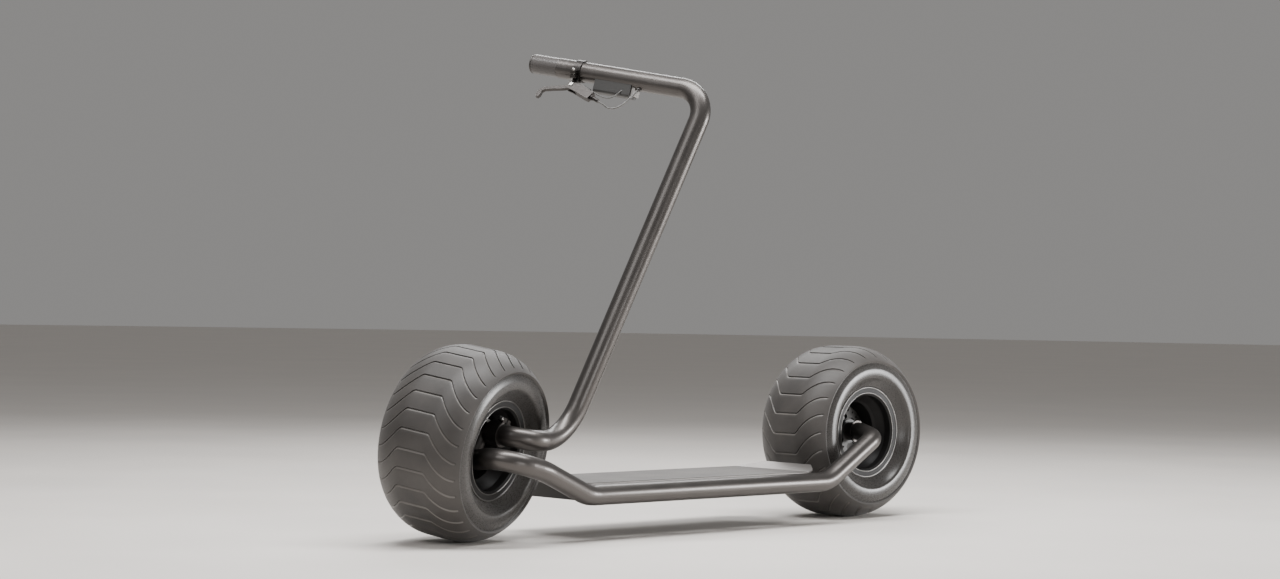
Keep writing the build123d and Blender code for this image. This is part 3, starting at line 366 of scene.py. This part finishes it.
def rolled_edges(name, joint_name, body):
    """The flange's rolled lip and the bead seat's corner, in a bright metal that paints highlight lines on the
    black rims.
    """
    matrix = wheel_matrix(joint_name)
    verts, faces = [], []
    for side in (-1, 1):
        for y, r, section in ROLLS:
            turns = [math.tau * i / ROLL_SIDES for i in range(ROLL_SIDES)]
            profile = [
                ((side * y + section * math.cos(a)) * MM, (r + section * math.sin(a)) * MM) for a in turns
            ]
            more_verts, more_faces = lathed(profile, matrix, ROLL_STEPS)
            first = len(verts)
            verts += more_verts
            faces += [tuple(first + v for v in face) for face in more_faces]
    return mesh_piece(name, verts, faces, "rolled_edge_painted_highlight", body, smooth_angle=60.0)


# Hose and wire under the bar

def under_bar_cord(name, route, diameter, material, node):
    """A free cord whose route points are its spline's control points, in metres."""
    curve = bpy.data.curves.new(name, "CURVE")
    curve.dimensions = "3D"
    curve.bevel_depth = diameter / 2
    curve.bevel_resolution = 4
    curve.resolution_u = 16
    curve.use_fill_caps = True
    spline = curve.splines.new("NURBS")
    spline.points.add(len(route) - 1)
    for point, place in zip(spline.points, route):
        point.co = (*place, 1.0)
    spline.order_u = 3
    spline.use_endpoint_u = True
    curve.materials.append(MATERIALS[material])
    piece = bpy.data.objects.new(name, curve)
    bpy.context.scene.collection.objects.link(piece)
    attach(piece, "steering")
    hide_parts(node)
    return piece


def under_bar_cords():
    hose = (
        (0.24251, -0.03076, 1.06666),
        (0.24083, -0.00158, 1.05305),
        (0.24197, 0.01697, 1.04182),
        (0.23238, 0.03643, 1.04261),
        (0.21379, 0.05018, 1.05695),
        (0.17419, 0.06243, 1.09657),
    )
    wire = (
        (0.23435, -0.05655, 1.08994),
        (0.23339, -0.03141, 1.07764),
        (0.22879, -0.00273, 1.0677),
        (0.21659, 0.01357, 1.07322),
        (0.1994, 0.02065, 1.08948),
    )
    under_bar_cord("flexible_hose", hose, 0.005, "hose_black", "brake_hose")
    under_bar_cord("switch_lead", wire, 0.0032, "wire_black", "switch_wire")


# Floor, light and camera

def floor():
    """A flat, pale, round floor."""
    radius, sides = 30.0, 96
    mesh = bpy.data.meshes.new("floor")
    turns = [math.tau * i / sides for i in range(sides)]
    mesh.from_pydata([(radius * math.cos(a), radius * math.sin(a), 0.0) for a in turns], [], [range(sides)])
    mesh.materials.append(surface("floor_paint", (0.73, 0.69, 0.65), 0.0, (0.6, 0.75), grain=60, blotch=1.5,
                                  variation=0.03, depth=0.0002))
    ground = bpy.data.objects.new("floor", mesh)
    bpy.context.scene.collection.objects.link(ground)


def area_light(name, place, target, size, power):
    light = bpy.data.lights.new(name, "AREA")
    light.shape = "RECTANGLE"
    light.size, light.size_y = size
    light.energy = power
    lamp = bpy.data.objects.new(name, light)
    bpy.context.scene.collection.objects.link(lamp)
    lamp.location = place
    lamp.rotation_mode = "QUATERNION"
    lamp.rotation_quaternion = (Vector(target) - Vector(place)).to_track_quat("-Z", "Y")


def lights():
    middle = (0.0, 0.0, 0.5)
    area_light("top_softbox", (0.3, 0.5, 3.4), middle, (3.8, 1.1), 240)
    area_light("key_softbox", (3.6, 0.6, 2.6), middle, (2.0, 1.6), 40)
    area_light("side_softbox", (-3.6, 3.2, 0.6), (-0.6, 0.0, 0.25), (1.5, 1.0), 175)
    area_light("back_softbox", (-2.1, -2.2, 3.0), middle, (3.2, 1.0), 95)
    area_light("low_softbox", (1.2, 3.4, 0.5), (0.6, 0.1, 0.2), (1.2, 0.6), 16)
    world = bpy.data.worlds.new("studio")
    bpy.context.scene.world = world
    world.use_nodes = True
    background = world.node_tree.nodes["Background"]
    background.inputs["Color"].default_value = (0.98, 0.96, 0.94, 1)
    background.inputs["Strength"].default_value = 0.27


SENSOR_WIDTH, LENS = 36.0, 75.465
CAMERA_PLACE = (4.7701, 4.7909, 0.5996)
CAMERA_HEADING, CAMERA_ROLL = 44.23, 0.93    # degrees


def camera():
    """A long lens at the front left, level, looking along the floor."""
    data = bpy.data.cameras.new("camera")
    data.sensor_width = SENSOR_WIDTH
    data.sensor_fit = "HORIZONTAL"
    data.lens = LENS
    data.clip_end = 100.0
    eye = bpy.data.objects.new("camera", data)
    bpy.context.scene.collection.objects.link(eye)
    heading = math.radians(CAMERA_HEADING)
    roll = math.radians(CAMERA_ROLL)
    back = Vector((math.sin(heading), math.cos(heading), 0))
    level = (-back).cross(Vector((0, 0, 1)))
    up = Vector((0, 0, 1))
    right = level * math.cos(roll) + up * math.sin(roll)
    top = up * math.cos(roll) - level * math.sin(roll)
    eye.matrix_world = Matrix((
        (right.x, top.x, back.x, CAMERA_PLACE[0]),
        (right.y, top.y, back.y, CAMERA_PLACE[1]),
        (right.z, top.z, back.z, CAMERA_PLACE[2]),
        (0, 0, 0, 1),
    ))
    bpy.context.scene.camera = eye


dress_cad_nodes()
tyre("front_tyre_tread", "front_wheel_spin", "front_wheel", "front_tyre", -1, 31)
tyre("rear_tyre_tread", "rear_wheel_spin", "rear_wheel", "rear_tyre", 1, 27)
under_bar_cords()
rolled_edges("front_rim_edges", "front_wheel_spin", "front_wheel")
rolled_edges("rear_rim_edges", "rear_wheel_spin", "rear_wheel")
floor()
lights()
camera()
